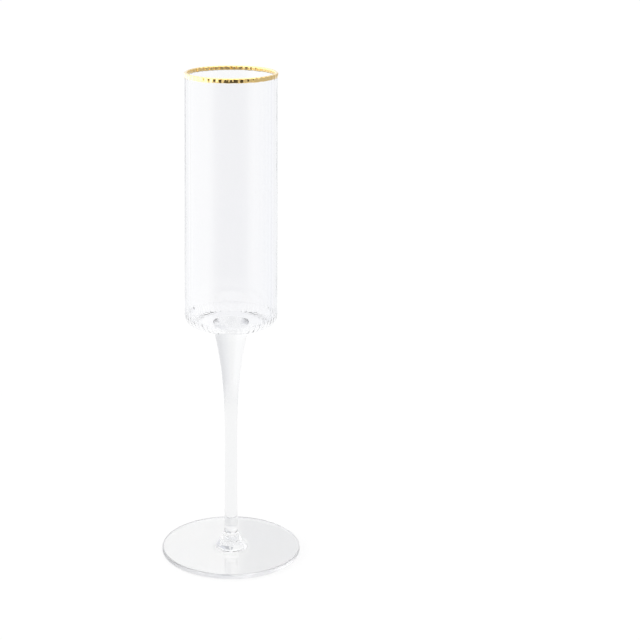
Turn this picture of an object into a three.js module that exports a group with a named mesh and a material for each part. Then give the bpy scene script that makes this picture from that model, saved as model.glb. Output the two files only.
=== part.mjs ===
// Champagne flute: a tall straight bowl with fine optic ribs, a drawn stem, a round foot and a gilt lip.
// Millimetres, +Z up. The origin is the centre of the face that the foot rests on.
import * as THREE from 'three';

// ---- driving dimensions ----------------------------------------------------------------------

const HEIGHT = 250; // foot to gilt lip

const FOOT_RADIUS = 35.95;
const FOOT_EDGE = 2.5; // thickness at the rim of the foot
const FOOT_EDGE_ROUND = 0.8; // the rounded corners of that rim
const FOOT_SHOULDER = [9.8, 2.6]; // radius and height where the flat top starts to sweep up
const FOOT_SWEEP = [7.6, 2.7]; // the point that the sweep leans towards
const BOSS_FOOT = [6.2, 4.3]; // the boss gathers the foot up to the stem
const BOSS_TOP = [3.8, 9.6];
const BOSS_SIDES = 6;
const BOSS_FLATNESS = 0.5; // how far its sides go from round to flat

const STEM_FOOT = 10.2; // height of the end that stands on the boss
const STEM_END_RADIUS = 3.5;
const STEM_WAIST_RADIUS = 3.2;
const STEM_SWELL_LENGTH = 20; // over which the foot end thins down to the waist
const STEM_FLARE = 5.9; // what the drawn top adds to the waist
const STEM_FLARE_LENGTH = 35.7;
const STEM_FLARE_SPREAD = 33.8;

const BOWL_UNDERSIDE = 124.2; // height of the bowl's flat underside
const BOWL_BASE_RADIUS = 23.15;
const BOWL_MOUTH_RADIUS = 22.4;
const BOWL_CORNER = 4.7; // radius that turns the wall into the underside
const BOWL_WALL = 1.2; // at the mouth
const BOWL_BASE_WALL = 1.25; // just above the inner corner
const BOWL_FLOOR = 1.25; // thickness under the wine
const BOWL_INNER_CORNER = 4.3;

const RIBS = 48;
const RIB_LIP_HEIGHT = 0.17; // how far a crest stands above the plain surface at the lip
const RIB_WALL_HEIGHT = 0.009; // on the wall, where the ribs are hardly seen
const RIB_BASE_HEIGHT = 0.06; // at the bottom corner
const RIB_LIP_FADE = 1.1; // how fast the ribs fade from the lip
const RIB_BASE_FADE = 1.3; // and from the bottom corner
const RIB_START_RADIUS = 15; // inside this radius the bottom of the bowl is plain

const GILT = 0.12; // thickness of the gilding
const GILT_CLEARANCE = 0.09; // between its facets and the glass, which twist apart over the ribs
const GILT_OUTSIDE = 2.2; // how far it reaches down the outside
const GILT_INSIDE = 1.9;

const RING_STEPS = 2 * RIBS; // one step to each rib's crest and one to each valley
const STEM_STEPS = 32;
const CORNER_STEPS = 4;
const LIP_STEPS = 8;
const EDGE_STEPS = 3;
const STEM_ROWS = 18;
const SWEEP_ROWS = 5;
const BOSS_ROWS = 3;
const GILT_ROWS = [0.4, 0.8]; // rows below the lip where the ribs fade, in units of the fade
const FADE_ROWS = [0.5, 1, 1.6, 2.4]; // and beyond the gilding and the corner

// ---- materials -------------------------------------------------------------------------------

const clearGlass = new THREE.MeshStandardMaterial({
  color: 0xf3f6f8,
  roughness: 0.02,
  metalness: 0,
  transparent: true,
  opacity: 0.35,
});
const gold = new THREE.MeshStandardMaterial({ color: 0xd9ac48, roughness: 0.18, metalness: 1 });

// ---- outlines, as points of radius and height --------------------------------------------------

const point = (radius, height) => new THREE.Vector2(radius, height);

// A round stretch from one angle to another, in degrees from straight outwards.
function arc(centreRadius, centreHeight, radius, fromDegrees, toDegrees, steps) {
  return Array.from({ length: steps + 1 }, (_, i) => {
    const angle = THREE.MathUtils.degToRad(fromDegrees + ((toDegrees - fromDegrees) * i) / steps);
    return point(centreRadius + radius * Math.cos(angle), centreHeight + radius * Math.sin(angle));
  });
}

// The bowl's outer face is a straight line from the corner to the lip, and so is its inner face.
const cornerTop = BOWL_UNDERSIDE + BOWL_CORNER;
const cornerRadius = BOWL_BASE_RADIUS - BOWL_CORNER;
const floorHeight = BOWL_UNDERSIDE + BOWL_FLOOR;
const innerCornerTop = floorHeight + BOWL_INNER_CORNER;
const innerBaseRadius = BOWL_BASE_RADIUS - BOWL_BASE_WALL;
const innerMouthRadius = BOWL_MOUTH_RADIUS - BOWL_WALL;
const lipRadius = BOWL_WALL / 2;
const lipCentre = BOWL_MOUTH_RADIUS - lipRadius;
const lipHeight = HEIGHT - GILT - GILT_CLEARANCE - lipRadius;

function onLine(height, lowHeight, lowRadius, highRadius) {
  const share = (height - lowHeight) / (lipHeight - lowHeight);
  return point(lowRadius + (highRadius - lowRadius) * share, height);
}
const outerFace = (height) => onLine(height, cornerTop, BOWL_BASE_RADIUS, BOWL_MOUTH_RADIUS);
const innerFace = (height) => onLine(height, innerCornerTop, innerBaseRadius, innerMouthRadius);

// How far, outwards and upwards, a rib's crest is pushed. The inside follows the outside, so the
// wall keeps its thickness.
function ribPush({ x: radius, y: height }) {
  if (height > lipHeight) {
    const across = Math.abs(radius - lipCentre);
    return point((RIB_LIP_HEIGHT * across) / Math.hypot(across, height - lipHeight), 0);
  }
  if (height > cornerTop) {
    const fade = (distance, length) => Math.exp(-((distance / length) ** 2));
    const atLip = (RIB_LIP_HEIGHT - RIB_WALL_HEIGHT) * fade(lipHeight - height, RIB_LIP_FADE);
    const atBase = (RIB_BASE_HEIGHT - RIB_WALL_HEIGHT) * fade(height - cornerTop, RIB_BASE_FADE);
    return point(RIB_WALL_HEIGHT + atLip + atBase, 0);
  }
  if (radius > cornerRadius) {
    return point(radius - cornerRadius, height - cornerTop).setLength(RIB_BASE_HEIGHT);
  }
  const share = Math.max(0, (radius - RIB_START_RADIUS) / (cornerRadius - RIB_START_RADIUS));
  return point(0, -RIB_BASE_HEIGHT * share);
}

// The lip from the gilding's lower edge outside, over the top, to its lower edge inside, at a
// distance from the glass.
const giltHeights = GILT_ROWS.map((step) => lipHeight - step * RIB_LIP_FADE);
const lipOutline = (distance) => [
  ...[...giltHeights, HEIGHT - GILT_OUTSIDE]
    .toReversed()
    .map((height) => outerFace(height).add(point(distance, 0))),
  ...arc(lipCentre, lipHeight, lipRadius + distance, 0, 180, LIP_STEPS),
  ...[...giltHeights, HEIGHT - GILT_INSIDE].map((height) => innerFace(height).sub(point(distance, 0))),
];

// Heights, from the bottom up, of the rows where the ribs fade into the wall.
const fadeHeights = [
  ...FADE_ROWS.map((step) => cornerTop + step * RIB_BASE_FADE),
  lipHeight - FADE_ROWS.at(-1) * RIB_LIP_FADE,
];
const innerCornerRadius = innerBaseRadius - BOWL_INNER_CORNER;
const bowlOutline = [
  point(0, BOWL_UNDERSIDE),
  point(RIB_START_RADIUS, BOWL_UNDERSIDE),
  ...arc(cornerRadius, cornerTop, BOWL_CORNER, -90, 0, CORNER_STEPS),
  ...fadeHeights.map(outerFace),
  ...lipOutline(0),
  ...fadeHeights.toReversed().map(innerFace),
  ...arc(innerCornerRadius, innerCornerTop, BOWL_INNER_CORNER, 0, -90, CORNER_STEPS),
  point(RIB_START_RADIUS, floorHeight),
  point(0, floorHeight),
];

const giltFace = lipOutline(GILT_CLEARANCE + GILT);
const giltOutline = [...giltFace, ...lipOutline(GILT_CLEARANCE).toReversed(), giltFace[0]];

function stemRadius(height) {
  const up = height - STEM_FOOT;
  const down = BOWL_UNDERSIDE - height;
  const swell = (STEM_END_RADIUS - STEM_WAIST_RADIUS) * Math.exp(-up / STEM_SWELL_LENGTH);
  const flare = STEM_FLARE * Math.exp(-down / STEM_FLARE_LENGTH - (down / STEM_FLARE_SPREAD) ** 2);
  return STEM_WAIST_RADIUS + swell + flare;
}
// The rows crowd together towards the bowl, where the outline turns fastest.
const stemRows = Array.from({ length: STEM_ROWS + 1 }, (_, i) => {
  const height = THREE.MathUtils.lerp(BOWL_UNDERSIDE, STEM_FOOT, (1 - i / STEM_ROWS) ** 2);
  return point(stemRadius(height), height);
});
const stemOutline = [point(0, STEM_FOOT), ...stemRows, point(0, BOWL_UNDERSIDE)];

const edgeCentre = FOOT_RADIUS - FOOT_EDGE_ROUND;
const bossFoot = point(...BOSS_FOOT);
const bossTop = point(...BOSS_TOP);
const sweep = new THREE.QuadraticBezierCurve(point(...FOOT_SHOULDER), point(...FOOT_SWEEP), bossFoot);
const bossSide = new THREE.LineCurve(bossFoot, bossTop);
const footOutline = [
  point(0, 0),
  ...arc(edgeCentre, FOOT_EDGE_ROUND, FOOT_EDGE_ROUND, -90, 0, EDGE_STEPS),
  ...arc(edgeCentre, FOOT_EDGE - FOOT_EDGE_ROUND, FOOT_EDGE_ROUND, 0, 90, EDGE_STEPS),
  ...sweep.getPoints(SWEEP_ROWS),
  ...bossSide.getPoints(BOSS_ROWS).slice(1),
  point(STEM_END_RADIUS, STEM_FOOT),
  point(0, STEM_FOOT),
];

// How far outwards the boss's flat sides and corners push its round outline.
function bossPush({ x: radius, y: height }, angle) {
  const [shoulderRadius] = FOOT_SHOULDER;
  const share =
    radius < bossFoot.x
      ? (radius - bossTop.x) / (bossFoot.x - bossTop.x)
      : (shoulderRadius - radius) / (shoulderRadius - bossFoot.x);
  if (share < 0 || height < FOOT_EDGE) return 0;
  const side = (2 * Math.PI) / BOSS_SIDES;
  const fromMiddle = THREE.MathUtils.euclideanModulo(angle + Math.PI / 2, side) - side / 2;
  const flat = (Math.cos(side / 2) + 1) / 2 / Math.cos(fromMiddle);
  return radius * BOSS_FLATNESS * (flat - 1) * Math.sin((share * Math.PI) / 2) ** 2;
}

// ---- solids ----------------------------------------------------------------------------------

// Turns an outline about +Z.
function turned(outline, steps) {
  return new THREE.LatheGeometry(outline, steps).rotateX(Math.PI / 2);
}

// Turns an outline about +Z and moves its points by what push gives for a point and an angle.
function turnedAndPushed(outline, push) {
  const geometry = turned(outline, RING_STEPS);
  const position = geometry.attributes.position;
  for (let i = 0; i < position.count; i++) {
    const from = outline[i % outline.length];
    if (from.x === 0) continue;
    const [x, y] = [position.getX(i), position.getY(i)];
    const { x: outwards, y: upwards } = push(from, Math.atan2(y, x));
    const scale = 1 + outwards / from.x;
    position.setXYZ(i, x * scale, y * scale, position.getZ(i) + upwards);
  }
  geometry.computeVertexNormals();
  return geometry;
}

const ribbed = (from, angle) => ribPush(from).multiplyScalar(Math.cos(RIBS * angle));
const sided = (from, angle) => point(bossPush(from, angle), 0);

function piece(name, geometry, material) {
  const mesh = new THREE.Mesh(geometry, material);
  mesh.name = name;
  return mesh;
}

const flute = new THREE.Group();
flute.add(
  piece('foot', turnedAndPushed(footOutline, sided), clearGlass.clone()),
  piece('stem', turned(stemOutline, STEM_STEPS), clearGlass.clone()),
  piece('bowl', turnedAndPushed(bowlOutline, ribbed), clearGlass),
  piece('gilt_rim', turnedAndPushed(giltOutline, ribbed), gold),
);

export default flute;
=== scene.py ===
"""A clear glass champagne flute with optic ribs and a gilt lip, on a pale floor in soft studio light."""
import math

import bmesh
import bpy
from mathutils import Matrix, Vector, noise


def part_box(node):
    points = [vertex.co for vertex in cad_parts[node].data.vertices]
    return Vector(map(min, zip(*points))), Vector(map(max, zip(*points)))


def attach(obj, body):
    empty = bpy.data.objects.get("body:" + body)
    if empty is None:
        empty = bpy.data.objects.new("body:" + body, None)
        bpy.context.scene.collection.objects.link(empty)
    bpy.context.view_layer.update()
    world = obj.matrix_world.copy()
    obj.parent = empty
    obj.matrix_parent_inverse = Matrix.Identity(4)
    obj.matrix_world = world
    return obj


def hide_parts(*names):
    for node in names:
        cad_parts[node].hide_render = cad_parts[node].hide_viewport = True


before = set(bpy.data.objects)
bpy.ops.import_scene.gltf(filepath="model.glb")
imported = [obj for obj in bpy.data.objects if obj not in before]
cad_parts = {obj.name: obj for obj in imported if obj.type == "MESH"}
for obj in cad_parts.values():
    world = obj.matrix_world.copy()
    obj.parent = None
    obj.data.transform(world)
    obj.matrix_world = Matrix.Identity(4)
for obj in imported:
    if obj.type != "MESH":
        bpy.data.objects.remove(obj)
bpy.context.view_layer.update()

MM = 0.001

# ---- sizes: from the frame where it has them, and otherwise those of the CAD model ---------------

foot_low, foot_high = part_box("foot")
bowl_low, bowl_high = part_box("bowl")
gilt_low, gilt_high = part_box("gilt_rim")

HEIGHT = gilt_high.z
STEM_FOOT = 10.2 * MM
UNDERSIDE = bowl_low.z

FOOT_RADIUS = foot_high.x
FOOT_EDGE = 2.5 * MM
FOOT_EDGE_ROUND = 0.8 * MM
FOOT_SHOULDER = (9.8 * MM, 2.6 * MM)  # where its flat top starts to sweep up to the boss
FOOT_SWEEP = (7.6 * MM, 2.7 * MM)  # the point that the sweep leans towards
BOSS_FOOT = (6.2 * MM, 4.3 * MM)
BOSS_TOP = (3.8 * MM, 9.6 * MM)
BOSS_SIDES = 6
BOSS_FLATNESS = 0.5  # how far its sides go from round to flat

STEM_END_RADIUS = 3.5 * MM
STEM_WAIST_RADIUS = 3.2 * MM
STEM_SWELL_LENGTH = 20 * MM
STEM_FLARE = 5.9 * MM
STEM_FLARE_LENGTH = 35.7 * MM
STEM_FLARE_SPREAD = 33.8 * MM

BOWL_BASE_RADIUS = 23.15 * MM
BOWL_MOUTH_RADIUS = 22.4 * MM
BOWL_CORNER = 4.7 * MM
BOWL_WALL = 1.2 * MM
BOWL_BASE_WALL = 1.25 * MM
BOWL_FLOOR = 1.25 * MM
BOWL_INNER_CORNER = 4.3 * MM

RIBS = 48
RIB_LIP_HEIGHT = 0.17 * MM
RIB_WALL_HEIGHT = 0.009 * MM
RIB_BASE_HEIGHT = 0.06 * MM
RIB_LIP_FADE = 1.1 * MM  # how fast the ribs fade from the lip
RIB_BASE_FADE = 1.3 * MM  # and from the bottom corner
RIB_UNEVENNESS = 0.35  # how much some ribs stand out more than others
RIB_HEIGHT_CHANGES = 15.6  # how often that changes, in one radian of the way round
RIB_HEIGHT_DRAW = Vector((7, 0, 0))  # which stretch of the noise it is drawn from
RIB_TWIST = 0.02  # how far, in radians, a rib's line wanders to either side
RIB_TWIST_CHANGES = 12  # how often, in one radian of the way round
RIB_TWIST_LENGTH = 2 * MM  # and over what height
RIB_START_RADIUS = 15 * MM
RIB_VALLEY = 0.3  # how rounded the valleys are, from 0 for a sharp crease

GILT = 0.12 * MM
GILT_GRIP = 0.05 * MM  # the gilding's back lies this far inside the glass
GILT_OUTSIDE = 2.2 * MM
GILT_INSIDE = 1.9 * MM
GILT_UNEVENNESS = 0.16 * MM  # how far its brushed lower edges wander
GILT_CHANGES = 9  # how often, in one radian of the way round

WAVINESS = 0.006 * MM  # of hand-blown glass
WAVE_LENGTH = 14 * MM
WAVE_STRETCH = 3  # its waves are this much longer up the flute than round it

HOLD = 0.2 * MM  # how close to a bend a straight stretch has its nearest points
COLUMNS_PER_RIB = 10
RIBBED_COLUMNS = RIBS * COLUMNS_PER_RIB
PLAIN_COLUMNS = 192
CORNER_STEPS = 16
LIP_STEPS = 12
WALL_ROWS = 24
FADE_STEPS = (0.1, 0.3, 0.5, 0.7, 0.9, 1.1, 1.4, 1.7, 2.0, 2.5, 3.0)  # rows close to the wall's two ends
STEM_ROWS = 70

LIP_RADIUS = BOWL_WALL / 2
LIP_HEIGHT = HEIGHT - GILT - LIP_RADIUS
LIP_CENTRE = BOWL_MOUTH_RADIUS - LIP_RADIUS
CORNER_TOP = UNDERSIDE + BOWL_CORNER
CORNER_CENTRE = BOWL_BASE_RADIUS - BOWL_CORNER
WINE_FLOOR = UNDERSIDE + BOWL_FLOOR
INNER_CORNER_TOP = WINE_FLOOR + BOWL_INNER_CORNER
INNER_BASE_RADIUS = BOWL_BASE_RADIUS - BOWL_BASE_WALL
INNER_MOUTH_RADIUS = BOWL_MOUTH_RADIUS - BOWL_WALL


# ---- outlines, as points of radius and height ------------------------------------------------------


def arc(centre, radius, from_degrees, to_degrees, steps):
    """A round stretch, its angles measured from straight outwards."""
    turn = to_degrees - from_degrees
    angles = [math.radians(from_degrees + turn * i / steps) for i in range(steps + 1)]
    return [(centre[0] + radius * math.cos(a), centre[1] + radius * math.sin(a)) for a in angles]


def between(start, end, steps):
    """The points that divide a straight stretch, without its two ends. The first and the last lie close
    to the ends, so that smooth shading keeps the stretch straight."""
    hold = HOLD / math.dist(start, end)
    shares = [hold, *(i / steps for i in range(1, steps)), 1 - hold]
    return [tuple(a + (b - a) * share for a, b in zip(start, end)) for share in shares]


def curve(start, lean, end, steps):
    """A curve from start to end that leans towards a third point."""
    shares = [i / steps for i in range(steps + 1)]
    return [
        tuple((1 - s) ** 2 * a + 2 * s * (1 - s) * b + s * s * c for a, b, c in zip(start, lean, end))
        for s in shares
    ]


def outer_face(height):
    share = (height - CORNER_TOP) / (LIP_HEIGHT - CORNER_TOP)
    return (BOWL_BASE_RADIUS + (BOWL_MOUTH_RADIUS - BOWL_BASE_RADIUS) * share, height)


def inner_face(height):
    share = (height - INNER_CORNER_TOP) / (LIP_HEIGHT - INNER_CORNER_TOP)
    return (INNER_BASE_RADIUS + (INNER_MOUTH_RADIUS - INNER_BASE_RADIUS) * share, height)


def wall(face, low, high):
    """The points up a wall: close together where the ribs fade, and evenly spaced between."""
    near_low = [low + RIB_BASE_FADE * step for step in FADE_STEPS]
    near_high = [high - RIB_LIP_FADE * step for step in reversed(FADE_STEPS)]
    gap = (near_high[0] - near_low[-1]) / WALL_ROWS
    middle = [near_low[-1] + gap * i for i in range(1, WALL_ROWS)]
    return [face(height) for height in (*near_low, *middle, *near_high)]


def stem_radius(height):
    up = height - STEM_FOOT
    down = UNDERSIDE - height
    swell = (STEM_END_RADIUS - STEM_WAIST_RADIUS) * math.exp(-up / STEM_SWELL_LENGTH)
    flare = STEM_FLARE * math.exp(-down / STEM_FLARE_LENGTH - (down / STEM_FLARE_SPREAD) ** 2)
    return STEM_WAIST_RADIUS + swell + flare


# ---- turning ---------------------------------------------------------------------------------------


def rib_profile(angle, height):
    """1 on a rib's crest and -1 in the valley between two, with a broad crest and a narrow valley.

    The ribs are blown into a mould by hand, so they are a little uneven and don't run quite straight."""
    around = Vector((math.cos(angle), math.sin(angle), 0))
    twist = RIB_TWIST * noise.noise(around * RIB_TWIST_CHANGES + Vector((0, 0, height / RIB_TWIST_LENGTH)))
    share = 1 + RIB_UNEVENNESS * noise.noise(around * RIB_HEIGHT_CHANGES + RIB_HEIGHT_DRAW)
    swing = math.cos(RIBS * (angle + twist) / 2)
    low = RIB_VALLEY
    high = math.hypot(1, RIB_VALLEY)
    return share * (2 * (math.hypot(swing, RIB_VALLEY) - low) / (high - low) - 1)


def fall_off(distance, length):
    """1 at no distance, and next to nothing beyond twice the length."""
    return math.exp(-((distance / length) ** 2))


def rib_push(radius, height):
    """How far, outwards and upwards, a rib's crest is pushed.

    The inside is pushed like the outside, so the wall keeps its thickness."""
    if height > LIP_HEIGHT:
        across = abs(radius - LIP_CENTRE) / math.hypot(radius - LIP_CENTRE, height - LIP_HEIGHT)
        return (RIB_LIP_HEIGHT * across, 0)
    if height > CORNER_TOP:
        at_lip = (RIB_LIP_HEIGHT - RIB_WALL_HEIGHT) * fall_off(LIP_HEIGHT - height, RIB_LIP_FADE)
        at_base = (RIB_BASE_HEIGHT - RIB_WALL_HEIGHT) * fall_off(height - CORNER_TOP, RIB_BASE_FADE)
        return (RIB_WALL_HEIGHT + at_lip + at_base, 0)
    if radius > CORNER_CENTRE:
        reach = math.hypot(radius - CORNER_CENTRE, height - CORNER_TOP)
        return (
            RIB_BASE_HEIGHT * (radius - CORNER_CENTRE) / reach,
            RIB_BASE_HEIGHT * (height - CORNER_TOP) / reach,
        )
    share = max(0, (radius - RIB_START_RADIUS) / (CORNER_CENTRE - RIB_START_RADIUS))
    return (0, -RIB_BASE_HEIGHT * share)


def boss_push(radius, height, angle):
    """How far outwards the boss's flat sides and corners push its round outline."""
    if radius < BOSS_FOOT[0]:
        share = (radius - BOSS_TOP[0]) / (BOSS_FOOT[0] - BOSS_TOP[0])
    else:
        share = (FOOT_SHOULDER[0] - radius) / (FOOT_SHOULDER[0] - BOSS_FOOT[0])
    if share < 0 or height < FOOT_EDGE:
        return 0
    side = 2 * math.pi / BOSS_SIDES
    from_middle = (angle + math.pi / 2) % side - side / 2
    flat = (math.cos(side / 2) + 1) / 2 / math.cos(from_middle)
    return radius * BOSS_FLATNESS * (flat - 1) * math.sin(share * math.pi / 2) ** 2


def waviness(x, y, height):
    return WAVINESS * noise.noise(Vector((x, y, height / WAVE_STRETCH)) / WAVE_LENGTH)


def turned(
    name, outline, columns, ribbed=False, wavy=True, sided=False, seam_rows=(), rim_rows=(), edge_rows=()
):
    """A closed mesh of an outline turned about +Z. A point on the axis becomes one vertex.

    The faces of seam_rows, counted along the outline, take the second material, and those of rim_rows
    the third. The points of edge_rows wander up and down a little, like the edge of brushed-on gold."""
    bm = bmesh.new()
    rows = []
    for index, (radius, height) in enumerate(outline):
        if radius == 0:
            rows.append([bm.verts.new((0, 0, height))])
            continue
        push = rib_push(radius, height) if ribbed else (0, 0)
        row = []
        for i in range(columns):
            angle = 2 * math.pi * i / columns
            x, y = math.cos(angle), math.sin(angle)
            crest = rib_profile(angle, height) if ribbed else 0
            r = radius + push[0] * crest
            z = height + push[1] * crest
            if sided:
                r += boss_push(radius, height, angle)
            if wavy:
                r += waviness(radius * x, radius * y, height)
            if index in edge_rows:
                z += GILT_UNEVENNESS * noise.noise(Vector((x, y, 0)) * GILT_CHANGES)
            row.append(bm.verts.new((r * x, r * y, z)))
        rows.append(row)
    pairs = list(zip(rows, rows[1:]))
    if len(rows[0]) > 1:
        pairs.append((rows[-1], rows[0]))
    for index, (low, high) in enumerate(pairs):
        for i in range(columns):
            j = i + 1
            corners = [low[i % len(low)], low[j % len(low)], high[j % len(high)], high[i % len(high)]]
            face = bm.faces.new(dict.fromkeys(corners))
            face.smooth = True
            face.material_index = int(index in seam_rows) + 2 * int(index in rim_rows)
    bmesh.ops.recalc_face_normals(bm, faces=bm.faces)
    mesh = bpy.data.meshes.new(name)
    bm.to_mesh(mesh)
    bm.free()
    piece = bpy.data.objects.new(name, mesh)
    bpy.context.scene.collection.objects.link(piece)
    return piece


# ---- node helpers ----------------------------------------------------------------------------------


def new_material(name):
    material = bpy.data.materials.new(name)
    material.use_nodes = True
    return material, material.node_tree, material.node_tree.nodes["Principled BSDF"]


def add(tree, kind, **settings):
    node = tree.nodes.new("ShaderNode" + kind)
    for key, value in settings.items():
        setattr(node, key, value)
    return node


def feed(tree, socket, value):
    """Links a socket's value, or sets a plain one."""
    if isinstance(value, bpy.types.NodeSocket):
        tree.links.new(value, socket)
    else:
        socket.default_value = value


def sums(tree, operation, *values):
    """The result of one Math node."""
    node = add(tree, "Math", operation=operation)
    for socket, value in zip(node.inputs, values):
        feed(tree, socket, value)
    return node.outputs[0]


def ramp(tree, value, from_low, from_high, to_low, to_high):
    """The value carried smoothly from one range to another, and held at its ends."""
    node = add(tree, "MapRange", interpolation_type="SMOOTHSTEP")
    for socket, each in zip(node.inputs, (value, from_low, from_high, to_low, to_high)):
        feed(tree, socket, each)
    return node.outputs[0]


def blend_colours(tree, share, first, second):
    node = add(tree, "Mix", data_type="RGBA")
    feed(tree, node.inputs["Factor"], share)
    feed(tree, node.inputs["A"], first)
    feed(tree, node.inputs["B"], second)
    return node.outputs["Result"]


def noise_value(tree, place, scale, detail=2.0, roughness=0.5):
    node = add(tree, "TexNoise")
    tree.links.new(place, node.inputs["Vector"])
    node.inputs["Scale"].default_value = scale
    node.inputs["Detail"].default_value = detail
    node.inputs["Roughness"].default_value = roughness
    return node.outputs["Fac"]


def bump(tree, bsdf, height, distance, strength=1.0):
    node = add(tree, "Bump")
    tree.links.new(height, node.inputs["Height"])
    node.inputs["Distance"].default_value = distance
    node.inputs["Strength"].default_value = strength
    tree.links.new(node.outputs["Normal"], bsdf.inputs["Normal"])


# ---- materials -------------------------------------------------------------------------------------

# How many patches of noise there are in a metre.
TINT_DRIFTS = 30
GOLD_PATCHES = 180
GOLD_POLISH_SPOTS = 500
GOLD_BRUSH_MARKS = 420

PALE_GOLD = (1.0, 0.75, 0.32)
DEEP_GOLD = (0.97, 0.67, 0.22)
GOLD_ROUGHNESS = (0.08, 0.2)
GOLD_BRUSH_DEPTH = 0.16 * MM


def glass_material(name, tint, drifted_tint, roughness=0):
    """Clear soda glass, with a trace of colour that drifts from one tint to the other."""
    material, tree, bsdf = new_material(name)
    place = add(tree, "TexCoord").outputs["Object"]
    drift = noise_value(tree, place, TINT_DRIFTS, detail=1)
    colour = blend_colours(tree, drift, (*tint, 1), (*drifted_tint, 1))
    tree.links.new(colour, bsdf.inputs["Base Color"])
    bsdf.inputs["Roughness"].default_value = roughness
    bsdf.inputs["IOR"].default_value = 1.5
    bsdf.inputs["Transmission Weight"].default_value = 1
    return material


def seam_material():
    """The inside face where two gathers of glass are fused: nothing is seen of it."""
    material, _, bsdf = new_material("fused_seam")
    bsdf.inputs["Alpha"].default_value = 0
    bsdf.inputs["Roughness"].default_value = 1
    bsdf.inputs["Specular IOR Level"].default_value = 0
    return material


def gold_material():
    """Bright fired gold, brushed on: its colour and polish vary, with fine marks of the brush."""
    material, tree, bsdf = new_material("gilding")
    place = add(tree, "TexCoord").outputs["Object"]
    patches = noise_value(tree, place, GOLD_PATCHES, detail=3)
    colour = blend_colours(tree, patches, (*PALE_GOLD, 1), (*DEEP_GOLD, 1))
    tree.links.new(colour, bsdf.inputs["Base Color"])
    polish = noise_value(tree, place, GOLD_POLISH_SPOTS)
    tree.links.new(ramp(tree, polish, 0.35, 0.7, *GOLD_ROUGHNESS), bsdf.inputs["Roughness"])
    bsdf.inputs["Metallic"].default_value = 1
    bsdf.inputs["Coat Weight"].default_value = 1
    bsdf.inputs["Coat Roughness"].default_value = 0.05
    bump(tree, bsdf, noise_value(tree, place, GOLD_BRUSH_MARKS), GOLD_BRUSH_DEPTH, strength=0.6)
    return material


EDGE_HAZE = 0.3  # light from inside the foot gathers at its edge and spreads softly

# The thicker the glass, the more of its tint shows.
thin_glass = glass_material("thin_glass", (0.985, 0.988, 0.998), (0.99, 0.99, 0.992))
foot_glass = glass_material("foot_glass", (0.965, 0.97, 0.98), (0.975, 0.975, 0.97))
stem_glass = glass_material("stem_glass", (0.9, 0.905, 0.912), (0.912, 0.915, 0.915))
edge_glass = glass_material(
    "edge_glass", (0.86, 0.865, 0.885), (0.88, 0.88, 0.885), roughness=EDGE_HAZE
)
seam = seam_material()
gold = gold_material()

# ---- pieces ----------------------------------------------------------------------------------------


def make_bowl():
    seam_edge = (stem_radius(UNDERSIDE), UNDERSIDE)
    plain_edge = (RIB_START_RADIUS, UNDERSIDE)
    outer_corner = arc((CORNER_CENTRE, CORNER_TOP), BOWL_CORNER, -90, 0, CORNER_STEPS)
    lip = arc((LIP_CENTRE, LIP_HEIGHT), LIP_RADIUS, 0, 180, LIP_STEPS)
    inner_corner = arc(
        (INNER_BASE_RADIUS - BOWL_INNER_CORNER, INNER_CORNER_TOP), BOWL_INNER_CORNER, 0, -90, CORNER_STEPS
    )
    plain_floor = (RIB_START_RADIUS, WINE_FLOOR)
    outline = [
        (0, UNDERSIDE),
        seam_edge,
        *between(seam_edge, plain_edge, 2),
        plain_edge,
        *between(plain_edge, outer_corner[0], 4),
        *outer_corner,
        *wall(outer_face, CORNER_TOP, LIP_HEIGHT),
        *lip,
        *reversed(wall(inner_face, INNER_CORNER_TOP, LIP_HEIGHT)),
        *inner_corner,
        *between(inner_corner[-1], plain_floor, 4),
        plain_floor,
        (RIB_START_RADIUS / 2, WINE_FLOOR),
        (0, WINE_FLOOR),
    ]
    bowl = turned("flute_bowl", outline, RIBBED_COLUMNS, ribbed=True, seam_rows=[0])
    bowl.data.materials.append(thin_glass)
    bowl.data.materials.append(seam)
    return bowl


def make_stem():
    heights = [UNDERSIDE + (STEM_FOOT - UNDERSIDE) * (1 - i / STEM_ROWS) ** 2 for i in range(STEM_ROWS + 1)]
    side = [(stem_radius(height), height) for height in heights]
    outline = [(0, STEM_FOOT), *side, (0, UNDERSIDE)]
    stem = turned("flute_stem", outline, PLAIN_COLUMNS, seam_rows=[0, len(outline) - 2])
    stem.data.materials.append(stem_glass)
    stem.data.materials.append(seam)
    return stem


def make_foot():
    edge_centre = FOOT_RADIUS - FOOT_EDGE_ROUND
    low_edge = arc((edge_centre, FOOT_EDGE_ROUND), FOOT_EDGE_ROUND, -90, 0, LIP_STEPS)
    high_edge = arc((edge_centre, FOOT_EDGE - FOOT_EDGE_ROUND), FOOT_EDGE_ROUND, 0, 90, LIP_STEPS)
    centre = (FOOT_RADIUS / 4, 0)
    outline = [
        (0, 0),
        centre,
        *between(centre, low_edge[0], 6),
        *low_edge,
        *between(low_edge[-1], high_edge[0], 2),
        *high_edge,
        *between(high_edge[-1], FOOT_SHOULDER, 8),
        *curve(FOOT_SHOULDER, FOOT_SWEEP, BOSS_FOOT, 12),
        *between(BOSS_FOOT, BOSS_TOP, 6),
        BOSS_TOP,
        (STEM_END_RADIUS, STEM_FOOT),
        (0, STEM_FOOT),
    ]
    rim_start = outline.index(low_edge[0])
    rim_end = outline.index(high_edge[-1])
    foot = turned(
        "flute_foot",
        outline,
        PLAIN_COLUMNS,
        wavy=False,
        sided=True,
        seam_rows=[len(outline) - 2],
        rim_rows=range(rim_start, rim_end),
    )
    foot.data.materials.append(foot_glass)
    foot.data.materials.append(seam)
    foot.data.materials.append(edge_glass)
    return foot


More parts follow.
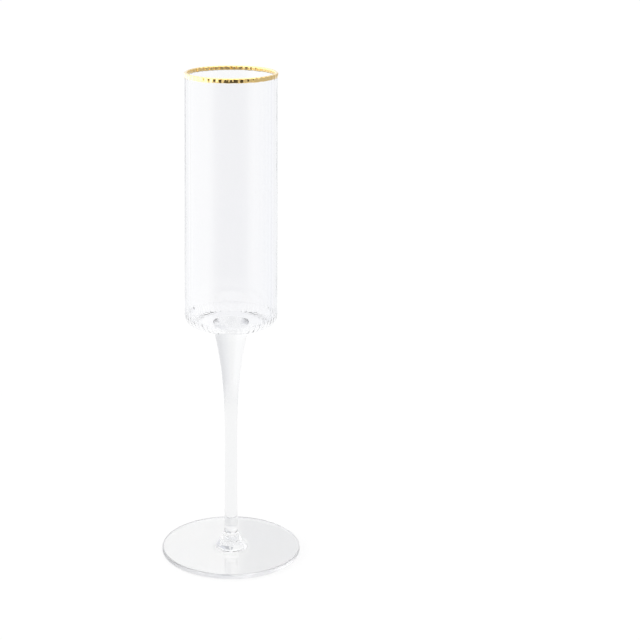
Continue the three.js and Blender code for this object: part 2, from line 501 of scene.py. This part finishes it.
def make_gilt_rim():
    def over_lip(distance):
        outside = outer_face(HEIGHT - GILT_OUTSIDE)
        inside = inner_face(HEIGHT - GILT_INSIDE)
        outside_top = outer_face(LIP_HEIGHT)
        inside_top = inner_face(LIP_HEIGHT)
        return [
            (outside[0] + distance, outside[1]),
            *[(r + distance, z) for r, z in between(outside, outside_top, 4)],
            *arc((LIP_CENTRE, LIP_HEIGHT), LIP_RADIUS + distance, 0, 180, LIP_STEPS),
            *[(r - distance, z) for r, z in between(inside_top, inside, 4)],
            (inside[0] - distance, inside[1]),
        ]

    face = over_lip(GILT)
    back = over_lip(-GILT_GRIP)
    edges = [0, len(face) - 1, len(face), len(face) + len(back) - 1]
    rim = turned("flute_gilt_rim", face + back[::-1], RIBBED_COLUMNS, ribbed=True, edge_rows=edges)
    rim.data.materials.append(gold)
    return rim


for piece, node, slot in (
    (make_bowl(), "bowl", "clear_glass"),
    (make_stem(), "stem", "clear_glass"),
    (make_foot(), "foot", "clear_glass"),
    (make_gilt_rim(), "gilt_rim", "gilding"),
):
    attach(piece, "root")
    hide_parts(node)

# ---- floor -----------------------------------------------------------------------------------------

FLOOR_DROP = 0.3 * MM  # the floor lies this far below the foot, so the two faces don't coincide
FLOOR_RADIUS = 0.45
FLOOR_GLOW = 0.84  # a light table: most of the floor's brightness comes from below
FLOOR_SOLID = 0.2  # the floor fades into the backdrop from here outwards


def make_floor():
    bpy.ops.mesh.primitive_circle_add(
        vertices=128, radius=FLOOR_RADIUS, fill_type="NGON", location=(0, 0, -FLOOR_DROP)
    )
    floor = bpy.context.object
    floor.name = "floor"
    material, tree, bsdf = new_material("pale_floor")
    place = add(tree, "TexCoord").outputs["Object"]
    shade = noise_value(tree, place, 12)
    colour = blend_colours(tree, shade, (0.11, 0.11, 0.11, 1), (0.13, 0.13, 0.13, 1))
    tree.links.new(colour, bsdf.inputs["Base Color"])
    bsdf.inputs["Roughness"].default_value = 1
    bsdf.inputs["Specular IOR Level"].default_value = 0
    bsdf.inputs["Emission Color"].default_value = (1, 1, 1, 1)
    bsdf.inputs["Emission Strength"].default_value = FLOOR_GLOW
    distance = add(tree, "VectorMath", operation="LENGTH")
    tree.links.new(place, distance.inputs[0])
    fade = ramp(tree, distance.outputs["Value"], FLOOR_SOLID, FLOOR_RADIUS, 0, 1)
    clear = add(tree, "BsdfTransparent")
    mix = add(tree, "MixShader")
    tree.links.new(fade, mix.inputs[0])
    tree.links.new(bsdf.outputs[0], mix.inputs[1])
    tree.links.new(clear.outputs[0], mix.inputs[2])
    tree.links.new(mix.outputs[0], tree.nodes["Material Output"].inputs["Surface"])
    floor.data.materials.append(material)
    return floor


make_floor()

# ---- studio light ----------------------------------------------------------------------------------
# The flute stands in front of even white, and its gold, its glass and what shows through the glass
# are each lit by panels of their own, as with light linking in a studio. Directions are in degrees:
# azimuth 0 is behind the flute as the camera sees it, and +90 is to the right. Each panel has its
# azimuth and elevation, half its width and height, how soft its edges are, and its brightness in
# red, green and blue.

WHITE = (1.02, 1.02, 1.02)
ROOM = (0.84, 0.85, 0.87)
GILDING_PANELS = (
    ("back", 0, -15, 60, 45, 10, (0.97, 0.97, 0.97)),
    ("right", 90, -10, 45, 40, 10, (0.6, 0.6, 0.62)),
    ("left softbox", -78, 0, 42, 40, 10, (2.3, 2.3, 2.3)),
    ("front flag", 180, -5, 23, 38, 6, (0.09, 0.085, 0.08)),
    ("overhead", 0, 90, 180, 35, 12, (2.0, 2.0, 2.0)),
)
DIM_ROOM = (0.72, 0.74, 0.79)
GLASS_PANELS = (
    ("back", 0, -15, 50, 35, 10, (0.92, 0.925, 0.94)),
    ("left", -90, 0, 25, 60, 50, (1.06, 1.06, 1.06)),
    ("front", 155, 4, 45, 30, 50, (0.52, 0.53, 0.57)),
    ("camera side", 180, 4, 20, 30, 40, (0.25, 0.255, 0.33)),
    ("upper left", -39.8, 34, 40, 16, 0.4, (0.95, 0.95, 0.95)),
    ("upper right", 14.5, 34, 14, 16, 0.4, (0.53, 0.54, 0.57)),
    ("overhead", 0, 90, 180, 35, 12, (1.1, 1.1, 1.1)),
)
THROUGH_BOWL_PANELS = (
    ("right", 95, 0, 80, 90, 18, (0.975, 0.98, 0.995)),
    ("far right", 85, 0, 40, 90, 42, (0.84, 0.845, 0.86)),
)
THROUGH_STEM_PANELS = (
    *THROUGH_BOWL_PANELS,
    ("left", -60, 0, 40, 90, 20, (1.1, 1.1, 1.1)),
    ("front", 180, 0, 25, 90, 10, (0.8, 0.8, 0.82)),
)
HORIZON = (8, 16)  # the backdrop seen through the glass ends between these elevations
ONE_WALL_AND_A_HALF = 3  # light that crosses more faces than this has come through both sides of the bowl


def panel_mask(tree, azimuth, elevation, panel):
    _, centre, height, half_width, half_height, softness, _ = panel
    turn = sums(tree, "WRAP", sums(tree, "SUBTRACT", azimuth, centre), 180, -180)
    across = ramp(tree, sums(tree, "ABSOLUTE", turn), half_width, half_width + softness, 1, 0)
    rise = sums(tree, "ABSOLUTE", sums(tree, "SUBTRACT", elevation, height))
    upright = ramp(tree, rise, half_height, half_height + softness, 1, 0)
    return sums(tree, "MULTIPLY", across, upright)


def hang(tree, azimuth, elevation, ground, panels):
    """The panels, each laid over the ones before it."""
    colour = (*ground, 1)
    for panel in panels:
        colour = blend_colours(tree, panel_mask(tree, azimuth, elevation, panel), colour, (*panel[-1], 1))
    return colour


def make_studio():
    world = bpy.data.worlds.new("studio")
    bpy.context.scene.world = world
    world.use_nodes = True
    tree = world.node_tree
    direction = add(tree, "SeparateXYZ")
    tree.links.new(add(tree, "TexCoord").outputs["Generated"], direction.inputs[0])
    x, y, z = direction.outputs
    azimuth = sums(tree, "DEGREES", sums(tree, "ARCTAN2", x, y))
    elevation = sums(tree, "DEGREES", sums(tree, "ARCSINE", z))
    on_gilding = hang(tree, azimuth, elevation, ROOM, GILDING_PANELS)
    on_glass = hang(tree, azimuth, elevation, DIM_ROOM, GLASS_PANELS)
    through_bowl = hang(tree, azimuth, elevation, WHITE, THROUGH_BOWL_PANELS)
    through_stem = hang(tree, azimuth, elevation, WHITE, THROUGH_STEM_PANELS)
    path = add(tree, "LightPath")
    both_walls = sums(tree, "GREATER_THAN", path.outputs["Transmission Depth"], ONE_WALL_AND_A_HALF)
    through_glass = blend_colours(tree, both_walls, through_stem, through_bowl)
    unreflected = sums(tree, "LESS_THAN", path.outputs["Glossy Depth"], 0.5)
    low = ramp(tree, elevation, *HORIZON, 1, 0)
    # Light that has come through both sides of the bowl sees the white overhead as well.
    high = ramp(tree, elevation, *HORIZON, 0, 1)
    ahead = sums(tree, "MULTIPLY", unreflected, low)
    above = sums(tree, "MULTIPLY", both_walls, high)
    colour = blend_colours(tree, sums(tree, "MAXIMUM", ahead, above), on_glass, through_glass)
    colour = blend_colours(tree, path.outputs["Is Singular Ray"], on_gilding, colour)
    colour = blend_colours(tree, path.outputs["Is Camera Ray"], colour, (*WHITE, 1))
    tree.links.new(colour, tree.nodes["Background"].inputs["Color"])


make_studio()
bpy.context.scene.view_settings.view_transform = "Standard"

# Light turns round many times inside the boss and the edges of the glass before it leaves them.
cycles = bpy.context.scene.cycles
cycles.max_bounces = 32
cycles.transmission_bounces = 32
cycles.glossy_bounces = 24
cycles.transparent_max_bounces = 24

# ---- camera ----------------------------------------------------------------------------------------

CAMERA_PLACE = (0, -0.749, 0.357)
CAMERA_TILT = 17.16  # degrees down
CAMERA_LENS = 87.86
CAMERA_SHIFT = 0.139  # the flute stands left of the middle of the frame


def make_camera():
    data = bpy.data.cameras.new("camera")
    data.lens = CAMERA_LENS
    data.shift_x = CAMERA_SHIFT
    camera = bpy.data.objects.new("camera", data)
    camera.location = CAMERA_PLACE
    camera.rotation_euler = (math.radians(90 - CAMERA_TILT), 0, 0)
    bpy.context.scene.collection.objects.link(camera)
    bpy.context.scene.camera = camera


make_camera()
